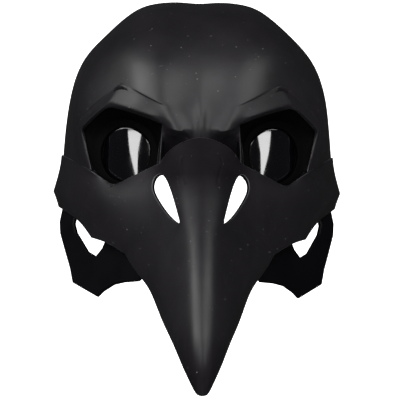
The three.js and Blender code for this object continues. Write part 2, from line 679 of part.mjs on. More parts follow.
addPair('eye_cup', eyeCup(), CUP_BLACK);
addPair('lens', lens(), LENS_BLACK);
addPair('lens_retainer', lensRetainer(), RETAINER_BLACK);
Object.entries(RETAINER_SCREW_ANGLES).forEach(([place, angle]) => {
  const seat = retainerScrewAt(angle, CUP_SCREW_DEPTH + GAP);
  addPair(`retainer_screw_${place}`, screw(2, 1.2, 0.9, CUP_SCREW_DEPTH - 1.1, seat, eyeAxis), SCREW_STEEL);
});

// ---- temple plates --------------------------------------------------------------------------------------
function templePlate() {
  const shape = new THREE.Shape();
  const front = -12;
  const rear = 7;
  const top = 20;
  const bottom = -23;
  const corner = 4;
  shape.moveTo(front + corner, bottom);
  shape.lineTo(rear - corner, bottom);
  shape.absarc(rear - corner, bottom + corner, corner, -Math.PI / 2, 0);
  shape.lineTo(rear, top - corner);
  shape.absarc(rear - corner, top - corner, corner, 0, Math.PI / 2);
  shape.lineTo(front + corner, top);
  shape.absarc(front + corner, top - corner, corner, Math.PI / 2, Math.PI);
  shape.lineTo(front, bottom + corner);
  shape.absarc(front + corner, bottom + corner, corner, Math.PI, Math.PI * 1.5);
  const plate = new THREE.ExtrudeGeometry(shape, { depth: TEMPLE_PLATE_THICK, bevelEnabled: false, curveSegments: 5 });
  plate.translate(0, 0, PIVOT_X - TEMPLE_PLATE_THICK / 2);
  plate.applyMatrix4(SIDEWAYS);
  return combine(plate, [], [
    rod(2.4, -4, 4, 18, [PIVOT_X, 0, 0], OUT_LEFT),
    rod(1.8, -4, 4, 10, [PIVOT_X, TEMPLE_SCREW_UP[1], TEMPLE_SCREW_UP[2]], OUT_LEFT),
    rod(1.8, -4, 4, 10, [PIVOT_X, TEMPLE_SCREW_DOWN[1], TEMPLE_SCREW_DOWN[2]], OUT_LEFT),
  ]);
}

// Turns a drawing in (y, z) that was extruded along its own third axis so that it is extruded along X.
const SIDEWAYS = new THREE.Matrix4().makeBasis(
  new THREE.Vector3(0, 1, 0), new THREE.Vector3(0, 0, 1), new THREE.Vector3(1, 0, 0));

addPair('temple_plate', templePlate(), TAB_BLACK);
[['up', TEMPLE_SCREW_UP, templeBossUp], ['down', TEMPLE_SCREW_DOWN, templeBossDown]].forEach(([end, at, seat]) => {
  const start = [PIVOT_X - TEMPLE_PLATE_THICK / 2 - GAP, at[1], at[2]];
  const length = TEMPLE_PLATE_THICK + 2 * GAP + seat.depth - 0.8;
  addPair(`temple_screw_${end}`, screw(3, 1.6, 1.4, length, start, OUT_LEFT), SCREW_STEEL);
});

const PIVOT_HEAD_X = TAB_X - TAB_THICK / 2 - GAP;
const PIVOT_NUT_X = PIVOT_X + TEMPLE_PLATE_THICK / 2 + GAP;
addPair('pivot_bolt', screw(4.6, 1.8, 1.9, PIVOT_NUT_X + 2.6 - PIVOT_HEAD_X, [PIVOT_HEAD_X, 0, 0], OUT_LEFT), PIVOT_STEEL);
addPair('pivot_nut', turned(
  [[2.2, 0], [3.9, 0], [3.9, 2.4], [2.2, 2.4], [2.2, 0]], 6, [PIVOT_NUT_X, 0, 0], OUT_LEFT), PIVOT_STEEL);

// ---- strap: swivelling tabs, one elastic band round the back of the head, and two keepers ---------------
const TAB_BAR_Y = 22.4;
const TAB_BAR_DEEP = 4.2;
const TAB_SLOT = 2.6;

function strapTab() {
  const half = WEB_WIDTH / 2 + 2.6;
  const end = TAB_BAR_Y + TAB_BAR_DEEP;
  const shape = new THREE.Shape();
  shape.absarc(0, 0, 6.4, Math.PI * 0.62, Math.PI * 1.38);
  shape.lineTo(12, -half + 1.5);
  shape.lineTo(14, -half);
  shape.lineTo(end - 1.5, -half);
  shape.lineTo(end, -half + 1.5);
  shape.lineTo(end, half - 1.5);
  shape.lineTo(end - 1.5, half);
  shape.lineTo(14, half);
  shape.lineTo(12, half - 1.5);
  const slotHalf = WEB_WIDTH / 2 + 0.6;
  const slot = new THREE.Path();
  slot.moveTo(TAB_BAR_Y - TAB_SLOT, -slotHalf);
  slot.lineTo(TAB_BAR_Y - TAB_SLOT, slotHalf);
  slot.lineTo(TAB_BAR_Y, slotHalf);
  slot.lineTo(TAB_BAR_Y, -slotHalf);
  shape.holes.push(slot);
  const tab = new THREE.ExtrudeGeometry(shape, { depth: TAB_THICK, bevelEnabled: false, curveSegments: 8 });
  tab.translate(0, 0, TAB_X - TAB_THICK / 2);
  tab.applyMatrix4(SIDEWAYS);
  return combine(tab, [], [rod(2.3, -4, 4, 18, [TAB_X, 0, 0], OUT_LEFT)]);
}

// Plan outline of the band: a stitched loop round each tab bar, a doubled run, then the single back run.
function strapBand() {
  const loopFront = TAB_BAR_Y - 0.4 - WEB_THICK;
  const loopHalf = TAB_THICK / 2 + 0.4 + WEB_THICK;
  const loopRear = TAB_BAR_Y + TAB_BAR_DEEP + 0.4 + WEB_THICK;
  const tailEnd = loopRear + 23;
  const side = (s) => {
    const x = (offset) => s * (TAB_X + offset);
    return {
      outer: [
        [x(-loopHalf), loopFront + 1], [x(-loopHalf + 1), loopFront], [x(loopHalf - 1), loopFront],
        [x(loopHalf), loopFront + 1], [x(loopHalf), loopRear - 1], [x(WEB_THICK), loopRear + 2.5],
        [x(WEB_THICK), tailEnd], [x(0), tailEnd + 0.6],
      ],
      inner: [[x(-WEB_THICK), loopRear + 2.5], [x(-loopHalf), loopRear - 1]],
      hole: [
        [x(-TAB_THICK / 2 - 0.4), TAB_BAR_Y - 0.4], [x(TAB_THICK / 2 + 0.4), TAB_BAR_Y - 0.4],
        [x(TAB_THICK / 2 + 0.4), TAB_BAR_Y + TAB_BAR_DEEP + 0.4],
        [x(-TAB_THICK / 2 - 0.4), TAB_BAR_Y + TAB_BAR_DEEP + 0.4],
      ],
    };
  };
  const left = side(1);
  const right = side(-1);
  const arc = (radiusX, back) => {
    const points = [];
    const steps = 28;
    for (let k = 0; k <= steps; k += 1) {
      const angle = (Math.PI * k) / steps;
      points.push([radiusX * Math.cos(angle), STRAP_TURN_Y + (back - STRAP_TURN_Y) * Math.sin(angle)]);
    }
    return points;
  };
  const outline = [
    ...left.outer, ...arc(TAB_X, STRAP_BACK), ...right.outer.reverse(), ...right.inner.reverse(),
    ...arc(TAB_X - WEB_THICK, STRAP_BACK - WEB_THICK).reverse(), ...left.inner,
  ];
  const shape = new THREE.Shape(outline.map(([x, y]) => new THREE.Vector2(x, y)));
  [left.hole, right.hole].forEach((hole) => {
    shape.holes.push(new THREE.Path(hole.map(([x, y]) => new THREE.Vector2(x, y))));
  });
  const band = new THREE.ExtrudeGeometry(shape, { depth: WEB_WIDTH, bevelEnabled: false });
  return band.translate(0, 0, -WEB_WIDTH / 2);
}

function keeper() {
  const wall = 1.6;
  const length = 9;
  const innerX = WEB_THICK + 0.5;
  const innerZ = WEB_WIDTH / 2 + 0.6;
  const frame = (x, z) => [[-x, -z], [x, -z], [x, z], [-x, z]].map(([a, b]) => new THREE.Vector2(a, b));
  const shape = new THREE.Shape(frame(innerX + wall, innerZ + wall));
  shape.holes.push(new THREE.Path(frame(innerX, innerZ)));
  const loop = new THREE.ExtrudeGeometry(shape, {
    depth: length - 0.8, bevelThickness: 0.4, bevelSize: 0.4, bevelOffset: -0.4, bevelSegments: 1,
  });
  loop.translate(0, 0, -length / 2 + 0.4);
  loop.rotateX(Math.PI / 2);
  return loop.translate(TAB_X, 41, 0);
}

addPair('strap_tab', strapTab(), TAB_BLACK);
add('head_strap', strapBand(), WEB_BLACK);
addPair('strap_keeper', keeper(), TAB_BLACK);

// ---- foam pads bonded to the inside of the cranium ------------------------------------------------------
const forehead = patch(cranium, (p) => Math.abs(p.x) < 42 && p.z > 44 && p.z < 76 && p.y < -40);
const temple = patch(cranium, (p) => p.x > 60 && p.y > -44 && p.y < -17 && p.z > 6 && p.z < 44);
add('forehead_pad', sheetSolid(forehead, SHELL_WALL + GAP, SHELL_WALL + GAP + PAD_THICK), FOAM_GREY);
addPair('temple_pad', sheetSolid(temple, SHELL_WALL + GAP, SHELL_WALL + GAP + PAD_THICK * 0.8), FOAM_GREY);

const mask = new THREE.Group();
mask.name = 'plague_doctor_mask';
parts.forEach((mesh) => mask.add(mesh));

export default mask;
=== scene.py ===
"""Plague doctor mask: black moulded raven skull with dark lenses, jaw brackets and an elastic head strap."""
import math

import bmesh
import bpy
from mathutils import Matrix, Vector


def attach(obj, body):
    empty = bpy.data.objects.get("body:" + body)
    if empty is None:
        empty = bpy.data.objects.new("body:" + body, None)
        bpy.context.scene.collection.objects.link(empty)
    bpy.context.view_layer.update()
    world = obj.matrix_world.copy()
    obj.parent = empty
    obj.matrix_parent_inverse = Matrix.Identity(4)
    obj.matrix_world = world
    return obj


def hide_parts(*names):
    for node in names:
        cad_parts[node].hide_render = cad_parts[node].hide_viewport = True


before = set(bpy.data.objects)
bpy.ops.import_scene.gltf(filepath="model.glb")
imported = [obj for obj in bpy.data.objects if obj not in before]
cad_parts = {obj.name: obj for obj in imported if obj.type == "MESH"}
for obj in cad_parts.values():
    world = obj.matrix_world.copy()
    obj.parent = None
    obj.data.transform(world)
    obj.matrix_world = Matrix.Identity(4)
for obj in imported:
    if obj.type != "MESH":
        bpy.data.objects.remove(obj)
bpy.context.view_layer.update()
scene = bpy.context.scene

MM = 0.001
ABS_IOR = 1.54
WALL = 2.4          # moulded skull wall, mm
CUP_WALL = 1.2      # eye cup wall as drawn here, mm
PAPER_WHITE = "#f4f4f4"
PURE_WHITE = "#ffffff"


# ---- camera and studio ----------------------------------------------------------------------------------

def linear(code):
    """sRGB hex to linear RGBA."""
    channels = [int(code[i:i + 2], 16) / 255 for i in (1, 3, 5)]
    return [c / 12.92 if c <= 0.04045 else ((c + 0.055) / 1.055) ** 2.4 for c in channels] + [1.0]


def aim(obj, target):
    obj.rotation_euler = (Vector(target) - obj.location).to_track_quat("-Z", "Y").to_euler()


SENSOR_WIDTH = 36
FOCAL_LENGTH = 173
CAMERA_DISTANCE = 1.25
CAMERA_YAW = math.radians(1.3)
CAMERA_ROLL = math.radians(0.5)
CAMERA_TARGET = Vector((0, -0.085, -0.0362))


def add_camera():
    data = bpy.data.cameras.new("camera")
    camera = bpy.data.objects.new("camera", data)
    scene.collection.objects.link(camera)
    data.sensor_width = SENSOR_WIDTH
    data.lens = FOCAL_LENGTH
    data.clip_end = 20
    backwards = Vector((-math.sin(CAMERA_YAW), -math.cos(CAMERA_YAW), 0))
    camera.location = CAMERA_TARGET + backwards * CAMERA_DISTANCE
    aim(camera, CAMERA_TARGET)
    camera.rotation_euler.rotate_axis("Z", CAMERA_ROLL)
    scene.camera = camera


def add_softbox(name, location, target, width, height, power):
    data = bpy.data.lights.new(name, "AREA")
    data.shape = "RECTANGLE"
    data.size = width
    data.size_y = height
    data.energy = power
    light = bpy.data.objects.new(name, data)
    scene.collection.objects.link(light)
    light.location = location
    aim(light, target)
    return light


def add_plane(name, corners, material):
    mesh = bpy.data.meshes.new(name)
    mesh.from_pydata(corners, [], [(0, 1, 2, 3)])
    mesh.materials.append(material)
    plane = bpy.data.objects.new(name, mesh)
    scene.collection.objects.link(plane)
    return plane


# ---- materials ------------------------------------------------------------------------------------------

def new_material(name):
    material = bpy.data.materials.new(name)
    material.use_nodes = True
    tree = material.node_tree
    shader = tree.nodes["Principled BSDF"]
    return material, tree, shader


def node(tree, kind, settings=None, **links):
    """Adds a node: settings are attributes or input values, links are input name to output socket."""
    made = tree.nodes.new(kind)
    for key, value in (settings or {}).items():
        if isinstance(key, int) or key in made.inputs:
            made.inputs[key].default_value = value
        else:
            setattr(made, key, value)
    for key, socket in links.items():
        tree.links.new(socket, made.inputs[int(key[1:]) if key[0] == "_" and key[1:].isdigit() else key])
    return made


def object_mm(tree):
    """Object coordinates in millimetres."""
    coordinates = node(tree, "ShaderNodeTexCoord")
    scaled = node(tree, "ShaderNodeVectorMath", {"operation": "SCALE", "Scale": 1 / MM},
                  _0=coordinates.outputs["Object"])
    return scaled.outputs[0]


def ramp(tree, factor, stops):
    made = node(tree, "ShaderNodeValToRGB", Fac=factor)
    elements = made.color_ramp.elements
    elements[0].position, elements[0].color = stops[0]
    elements[1].position, elements[1].color = stops[-1]
    for position, colour in stops[1:-1]:
        elements.new(position).color = colour
    return made.outputs["Color"]


def mix_colour(tree, factor, a, b):
    made = node(tree, "ShaderNodeMix", {"data_type": "RGBA", "blend_type": "MIX"})
    for index, value in ((0, factor), (6, a), (7, b)):
        if hasattr(value, "links"):
            tree.links.new(value, made.inputs[index])
        else:
            made.inputs[index].default_value = value
    return made.outputs[2]


def math_node(tree, operation, a, b=0.0, clamp=False):
    made = node(tree, "ShaderNodeMath", {"operation": operation, "use_clamp": clamp})
    for index, value in ((0, a), (1, b)):
        if hasattr(value, "links"):
            tree.links.new(value, made.inputs[index])
        else:
            made.inputs[index].default_value = value
    return made.outputs[0]


def fade(tree, value, start, end, low=0.0, high=1.0):
    """Maps start..end on to low..high and holds the end values outside."""
    settings = {"From Min": start, "From Max": end, "To Min": low, "To Max": high}
    return node(tree, "ShaderNodeMapRange", settings, _0=value).outputs[0]


def darker(colour, share):
    return [c * share for c in colour[:3]] + [1.0]


SCRATCH_STRETCH = 0.09      # how far each scratch cell is drawn out along its length


def scratch_mask(tree, place, turn, length, width, kept, seed):
    """Isolated straight scratches: cells stretched along one direction, each holding one short hairline."""
    spacing = length * 0.5
    shift = (seed, seed * 2, seed * 3)
    turned = node(tree, "ShaderNodeMapping", {"Rotation": turn, "Location": shift}, Vector=place)
    narrow = node(tree, "ShaderNodeMapping", {"Scale": (1.0, SCRATCH_STRETCH, 1.0)},
                  Vector=turned.outputs[0])
    cells = node(tree, "ShaderNodeTexVoronoi", {"Scale": 1.0 / spacing, "Randomness": 1.0},
                 Vector=narrow.outputs[0])
    line = math_node(tree, "LESS_THAN", cells.outputs["Distance"], width)
    pick = node(tree, "ShaderNodeSeparateColor", _0=cells.outputs["Color"])
    return math_node(tree, "MULTIPLY", line, math_node(tree, "LESS_THAN", pick.outputs[0], kept))


def folded(tree, place):
    """Object coordinates with both halves of the face folded onto the left one."""
    parts = node(tree, "ShaderNodeSeparateXYZ", _0=place)
    side = math_node(tree, "ABSOLUTE", parts.outputs["X"])
    half = node(tree, "ShaderNodeCombineXYZ", _0=side, _1=parts.outputs["Y"], _2=parts.outputs["Z"])
    return half.outputs[0]


def near_line(tree, place, start, end, radius):
    """1 on a straight line between two points, falling smoothly to 0 at the radius."""
    a, b = Vector(start), Vector(end)
    along = b - a
    share = tuple(along / along.length_squared)
    offset = node(tree, "ShaderNodeVectorMath", {"operation": "SUBTRACT", 1: tuple(a)}, _0=place).outputs[0]
    reach = node(tree, "ShaderNodeVectorMath", {"operation": "DOT_PRODUCT", 1: share}, _0=offset)
    reach = math_node(tree, "ADD", reach.outputs["Value"], 0.0, clamp=True)
    foot = node(tree, "ShaderNodeVectorMath", {"operation": "SCALE", 0: tuple(along)}, Scale=reach)
    gap = node(tree, "ShaderNodeVectorMath", {"operation": "DISTANCE"}, _0=offset, _1=foot.outputs[0])
    smooth = {"interpolation_type": "SMOOTHSTEP", "From Min": radius, "From Max": 0.0}
    return node(tree, "ShaderNodeMapRange", smooth, _0=gap.outputs["Value"]).outputs[0]


# Middle line of the engraved crease on the left side of the beak, mm.
BEAK_CREASE = [(12.6, -112.0, -9.0), (13.4, -114.4, -13.0), (11.6, -120.1, -18.5), (9.8, -127.1, -25.5)]
CREASE_HALF_WIDTH = 1.6
CREASE_DEPTH = 0.35


def beak_crease(tree, place):
    """Engraved crease that runs down each side of the beak from the arc towards the nostril."""
    half = folded(tree, place)
    deep = 0.0
    for start, end in zip(BEAK_CREASE, BEAK_CREASE[1:]):
        deep = math_node(tree, "MAXIMUM", deep, near_line(tree, half, start, end, CREASE_HALF_WIDTH))
    return deep


# Where the skull plastic's reflection is turned down as painted shade, mm: the start and end of each fade,
# and the left pocket's place as distances from the three middle planes.
CROWN_HEIGHT = (-36.0, -20.0)
CROWN_HALF_WIDTH = (36.0, 24.0)
TIP_HEIGHT = (-118.0, -142.0)
BROW_POCKET = (19.0, 84.0, 0.0)
BROW_POCKET_RADIUS = (15.0, 9.0)
FULL_SHINE = 0.5
BEAK_LEAST_SHINE = 0.05
POCKET_LEAST_SHINE = 0.02


def beak_painted_shade(tree, place):
    """1 on the top of the beak between the nostrils and on its tip, fading out over a centimetre or two;
    painted shade.
    """
    axes = node(tree, "ShaderNodeSeparateXYZ", Vector=place)
    across = math_node(tree, "ABSOLUTE", axes.outputs["X"])
    low = fade(tree, axes.outputs["Z"], *CROWN_HEIGHT)
    wide = fade(tree, across, *CROWN_HALF_WIDTH)
    tip = fade(tree, axes.outputs["Z"], *TIP_HEIGHT)
    return math_node(tree, "MAXIMUM", math_node(tree, "MULTIPLY", low, wide), tip)


def brow_pocket_painted_shade(tree, place):
    """1 in the pocket under each inner brow, where hardly any light gets in; there the reflection is turned
    down as painted shade.
    """
    mirror = node(tree, "ShaderNodeVectorMath", {"operation": "ABSOLUTE"}, _0=place)
    from_pocket = {"operation": "DISTANCE", 1: BROW_POCKET}
    away = node(tree, "ShaderNodeVectorMath", from_pocket, _0=mirror.outputs[0])
    return fade(tree, away.outputs["Value"], *BROW_POCKET_RADIUS)


def satin_skull_plastic(name, is_beak):
    """Black injection-moulded ABS with a fine satin grain, scuffed in use.
    The grain gives a broad soft sheen, and the scuffs and dust show as pale hairlines and specks.
    The beak adds its engraved crease. Each shell has a part whose reflection is turned down as painted shade."""
    material, tree, shader = new_material(name)
    place = object_mm(tree)
    cloud = node(tree, "ShaderNodeTexNoise", {"Scale": 0.035, "Detail": 4.0, "Roughness": 0.6}, Vector=place)
    tone = ramp(tree, cloud.outputs["Fac"], [(0.3, linear("#171518")), (0.7, linear("#1f1c20"))])
    scratches = math_node(
        tree, "MAXIMUM",
        scratch_mask(tree, place, (0.3, 0.5, 0.4), 9.0, 0.07, 0.55, 11.0),
        scratch_mask(tree, place, (1.3, 0.2, 1.9), 7.0, 0.07, 0.45, 37.0))
    dust_cells = node(tree, "ShaderNodeTexVoronoi", {"Scale": 0.16, "Randomness": 1.0}, Vector=place)
    speck = math_node(tree, "LESS_THAN", dust_cells.outputs["Distance"], 0.06)
    dust_pick = node(tree, "ShaderNodeSeparateColor", _0=dust_cells.outputs["Color"])
    speck = math_node(tree, "MULTIPLY", speck, math_node(tree, "GREATER_THAN", dust_pick.outputs[0], 0.45))
    marked = mix_colour(tree, math_node(tree, "MULTIPLY", scratches, 0.5), tone, linear("#66636a"))
    dusted = mix_colour(tree, math_node(tree, "MULTIPLY", speck, 0.6), marked, linear("#8f8c8d"))
    tree.links.new(dusted, shader.inputs["Base Color"])
    # Handling polishes some areas: the roughness drifts over a few centimetres.
    polish = node(tree, "ShaderNodeTexNoise", {"Scale": 0.02, "Detail": 3.0}, Vector=place)
    rough = fade(tree, polish.outputs["Fac"], 0.3, 0.7, 0.36, 0.5)
    rough_out = math_node(tree, "ADD", rough, math_node(tree, "MULTIPLY", scratches, 0.15))
    tree.links.new(rough_out, shader.inputs["Roughness"])
    shader.inputs["IOR"].default_value = ABS_IOR
    # Painted shade: the reflection is turned down on the beak's top and tip and in the brow pockets.
    if is_beak:
        shine = fade(tree, beak_painted_shade(tree, place), 0.0, 1.0, FULL_SHINE, BEAK_LEAST_SHINE)
    else:
        shine = fade(tree, brow_pocket_painted_shade(tree, place), 0.0, 1.0, FULL_SHINE, POCKET_LEAST_SHINE)
    tree.links.new(shine, shader.inputs["Specular IOR Level"])
    # Spark-eroded mould grain is about 0.3 mm; it is drawn at 0.6 mm so that it shows.
    grain = node(tree, "ShaderNodeTexNoise", {"Scale": 1.6, "Detail": 3.0, "Roughness": 0.7}, Vector=place)
    waviness = node(tree, "ShaderNodeTexNoise", {"Scale": 0.05, "Detail": 2.0}, Vector=place)
    height = math_node(tree, "ADD", math_node(tree, "MULTIPLY", grain.outputs["Fac"], 0.05),
                       math_node(tree, "MULTIPLY", waviness.outputs["Fac"], 0.5))
    height = math_node(tree, "SUBTRACT", height, math_node(tree, "MULTIPLY", scratches, 0.04))
    if is_beak:
        height = math_node(tree, "SUBTRACT", height,
                           math_node(tree, "MULTIPLY", beak_crease(tree, place), CREASE_DEPTH))
    bump = node(tree, "ShaderNodeBump", {"Strength": 0.5, "Distance": 0.001}, Height=height)
    tree.links.new(bump.outputs[0], shader.inputs["Normal"])
    return material


def plain_moulding(name, colour, roughness, shine=0.5):
    """Moulded ABS with fine grain and little wear, in the colour and shine given: turned down as painted
    shade on parts that sit in the shade, raised as a painted highlight on the rims.
    """
    material, tree, shader = new_material(name)
    place = object_mm(tree)
    cloud = node(tree, "ShaderNodeTexNoise", {"Scale": 0.06, "Detail": 3.0}, Vector=place)
    base = linear(colour)
    tone = ramp(tree, cloud.outputs["Fac"], [(0.3, darker(base, 0.75)), (0.7, base)])
    tree.links.new(tone, shader.inputs["Base Color"])
    rough = fade(tree, cloud.outputs["Fac"], 0.3, 0.7, roughness - 0.04, roughness + 0.06)
    tree.links.new(rough, shader.inputs["Roughness"])
    shader.inputs["IOR"].default_value = ABS_IOR
    shader.inputs["Specular IOR Level"].default_value = shine
    grain = node(tree, "ShaderNodeTexNoise", {"Scale": 1.8, "Detail": 3.0}, Vector=place)
    bump = node(tree, "ShaderNodeBump", {"Strength": 0.3, "Distance": 0.0002}, Height=grain.outputs["Fac"])
    tree.links.new(bump.outputs[0], shader.inputs["Normal"])
    return material


def smoked_acrylic():
    """Thermoformed smoked acrylic: near black and glossy with a slight haze, and the odd speck of dust."""
    material, tree, shader = new_material("thermoformed_smoked_acrylic")
    place = object_mm(tree)
    cells = node(tree, "ShaderNodeTexVoronoi", {"Scale": 0.22}, Vector=place)
    speck = math_node(tree, "LESS_THAN", cells.outputs["Distance"], 0.05)
    tone = mix_colour(tree, math_node(tree, "MULTIPLY", speck, 0.25), linear("#040408"), linear("#6b6b70"))
    tree.links.new(tone, shader.inputs["Base Color"])
    haze = node(tree, "ShaderNodeTexNoise", {"Scale": 0.08, "Detail": 3.0}, Vector=place)
    tree.links.new(fade(tree, haze.outputs["Fac"], 0.35, 0.75, 0.06, 0.12), shader.inputs["Roughness"])
    shader.inputs["IOR"].default_value = 1.6
    # A thin mirror coat on the outer face, as on dark sunglasses.
    shader.inputs["Specular IOR Level"].default_value = 1.0
    shader.inputs["Coat Weight"].default_value = 0.8
    shader.inputs["Coat Roughness"].default_value = 0.07
    return material


def blackened_steel(name, colour, roughness):
    """Turned and plated or blackened steel: tool marks break its gloss into faint streaks."""
    material, tree, shader = new_material(name)
    place = object_mm(tree)
    streaks = node(tree, "ShaderNodeTexNoise", {"Scale": 1.4, "Detail": 4.0}, Vector=place)
    base = linear(colour)
    tone = ramp(tree, streaks.outputs["Fac"], [(0.3, darker(base, 0.7)), (0.7, base)])
    tree.links.new(tone, shader.inputs["Base Color"])
    shader.inputs["Metallic"].default_value = 1.0
    rough = fade(tree, streaks.outputs["Fac"], 0.0, 1.0, roughness - 0.08, roughness + 0.08)
    tree.links.new(rough, shader.inputs["Roughness"])
    return material


def open_cell_foam():
    """Open-cell polyurethane foam: matt charcoal with pinhole pores about 0.6 mm across."""
    material, tree, shader = new_material("open_cell_polyurethane_foam")
    place = object_mm(tree)
    pores = node(tree, "ShaderNodeTexVoronoi", {"Scale": 0.9}, Vector=place)
    tone = ramp(tree, pores.outputs["Distance"], [(0.1, linear("#0c0c0d")), (0.5, linear("#2a2a2c"))])
    tree.links.new(tone, shader.inputs["Base Color"])
    shader.inputs["Roughness"].default_value = 0.95
    shader.inputs["Sheen Weight"].default_value = 0.25
    dents = {"Strength": 0.7, "Distance": 0.0005}
    bump = node(tree, "ShaderNodeBump", dents, Height=pores.outputs["Distance"])
    tree.links.new(bump.outputs[0], shader.inputs["Normal"])
    return material


def elastic_webbing():
    """Woven elastic webbing: rows of ribs 1.6 mm apart across a band of fine lengthwise rubber cords."""
    material, tree, shader = new_material("woven_elastic_webbing")
    place = node(tree, "ShaderNodeTexCoord").outputs["UV"]
    across = {"wave_type": "BANDS", "bands_direction": "X", "Scale": 98.0, "Distortion": 0.4}
    across["Detail Scale"] = 2.0
    along = {"wave_type": "BANDS", "bands_direction": "Y", "Scale": 160.0}
    ribs = node(tree, "ShaderNodeTexWave", across, Vector=place)
    cords = node(tree, "ShaderNodeTexWave", along, Vector=place)
    raised = math_node(tree, "ADD", cords.outputs["Fac"], 0.6)
    weave = math_node(tree, "MULTIPLY", ribs.outputs["Fac"], raised)
    tone = ramp(tree, weave, [(0.0, linear("#0b0b0c")), (1.0, linear("#2b2b2d"))])
    tree.links.new(tone, shader.inputs["Base Color"])
    shader.inputs["Roughness"].default_value = 0.85
    shader.inputs["Sheen Weight"].default_value = 0.4
    shader.inputs["Sheen Roughness"].default_value = 0.5
    bump = node(tree, "ShaderNodeBump", {"Strength": 0.8, "Distance": 0.0004}, Height=weave)
    tree.links.new(bump.outputs[0], shader.inputs["Normal"])
    return material


def studio_light(name, radiance):
    """Evenly lit diffuser cloth of a strip softbox."""
    material, _, shader = new_material(name)
    shader.inputs["Base Color"].default_value = (0, 0, 0, 1)
    shader.inputs["Emission Color"].default_value = linear(PURE_WHITE)
    shader.inputs["Emission Strength"].default_value = radiance
    return material


def studio_white(name, colour, glow=0.0):
    """Matt seamless paper."""
    material, _, shader = new_material(name)
    shader.inputs["Base Color"].default_value = linear(colour)
    shader.inputs["Roughness"].default_value = 0.95
    shader.inputs["Specular IOR Level"].default_value = 0.1
    if glow:
        shader.inputs["Emission Color"].default_value = linear(colour)
        shader.inputs["Emission Strength"].default_value = glow
    return material


CRANIUM_ABS = satin_skull_plastic("moulded_abs_satin_black_cranium", is_beak=False)
BEAK_ABS = satin_skull_plastic("moulded_abs_satin_black_beak", is_beak=True)
# The cut walls are darker than the skull and barely reflect: painted shade for the dark border round the
# holes.
CUT_WALL_PAINTED_SHADE = plain_moulding("moulded_abs_cut_wall_painted_shade", "#0a090b", 0.6, 0.2)
# The pale colour on the rounded rims is a painted highlight, standing for the glint along the edges.
RIM_PAINTED_HIGHLIGHT = plain_moulding("moulded_abs_rim_painted_highlight", "#504d53", 0.32, 0.7)
# Brackets and eye cups are their own black, darkened further and made almost unreflective as painted shade
# for the shadowed jaw and sockets.
BRACKET = plain_moulding("moulded_abs_bracket_black_painted_shade", "#06060a", 0.5, 0.14)
CUP = plain_moulding("moulded_abs_eye_cup_black_painted_shade", "#020203", 0.7, 0.06)
RETAINER = plain_moulding("moulded_abs_ring_black", "#18181a", 0.5)
FITTING = plain_moulding("moulded_nylon_fitting_black", "#1c1c1f", 0.5)
LENS = smoked_acrylic()
SCREW = blackened_steel("blackened_steel_screw", "#4a4a4e", 0.34)
PIVOT = blackened_steel("nickel_plated_pivot", "#b4b4b8", 0.28)
FOAM = open_cell_foam()
WEBBING = elastic_webbing()


# ---- control surfaces -----------------------------------------------------------------------------------
# The same feature lines as the solids: rows of points in millimetres, creased where the skull is crisp.

def mirrored(p):
    return (-p[0] if p[0] else 0, p[1], p[2])


TIP_START = -0.13    # below this height the beak's cut edge stays crisp, m


class Cage:
    """A coarse sheet of quads, given for the left half and mirrored, with creases and pinned corners."""

    def __init__(self):
        self.points = []
        self.lookup = {}
        self.faces = []
        self.creases = {}
        self.pins = set()

    def point(self, p):
        key = tuple(p)
        if key not in self.lookup:
            self.lookup[key] = len(self.points)
            self.points.append(Vector(p) * MM)
        return self.lookup[key]

    def face(self, corners):
        self.faces.append([self.point(p) for p in corners])
        self.faces.append([self.point(mirrored(p)) for p in reversed(corners)])

    def crease(self, line, sharpness):
        for side in (line, [mirrored(p) for p in line]):
            for a, b in zip(side, side[1:]):
                self.creases[frozenset((self.point(a), self.point(b)))] = math.sqrt(sharpness / 10)

    def pin(self, p):
        self.pins.update((self.point(p), self.point(mirrored(p))))

    def mesh(self, name):
        mesh = bpy.data.meshes.new(name)
        mesh.from_pydata([tuple(p) for p in self.points], [], self.faces)
        work = bmesh.new()
        work.from_mesh(mesh)
        work.verts.ensure_lookup_table()
        edge_layer = work.edges.layers.float.new("crease_edge")
        vert_layer = work.verts.layers.float.new("crease_vert")
        bevel_layer = work.edges.layers.float.new("bevel_weight_edge")
        for edge in work.edges:
            # Boundary edges above the tip get rounded and take the pale rim colour, a painted highlight.
            marked = edge.is_boundary and min(v.co.z for v in edge.verts) > TIP_START
            edge[bevel_layer] = 1.0 if marked else 0.0
            edge[edge_layer] = self.creases.get(frozenset(v.index for v in edge.verts), 0.0)
        for i in self.pins:
            work.verts[i][vert_layer] = 1.0
        work.to_mesh(mesh)
        work.free()
        return mesh


def strip(cage, lower, upper, first, last):
    for k in range(first, last):
        cage.face([lower[k], lower[k + 1], upper[k + 1], upper[k]])


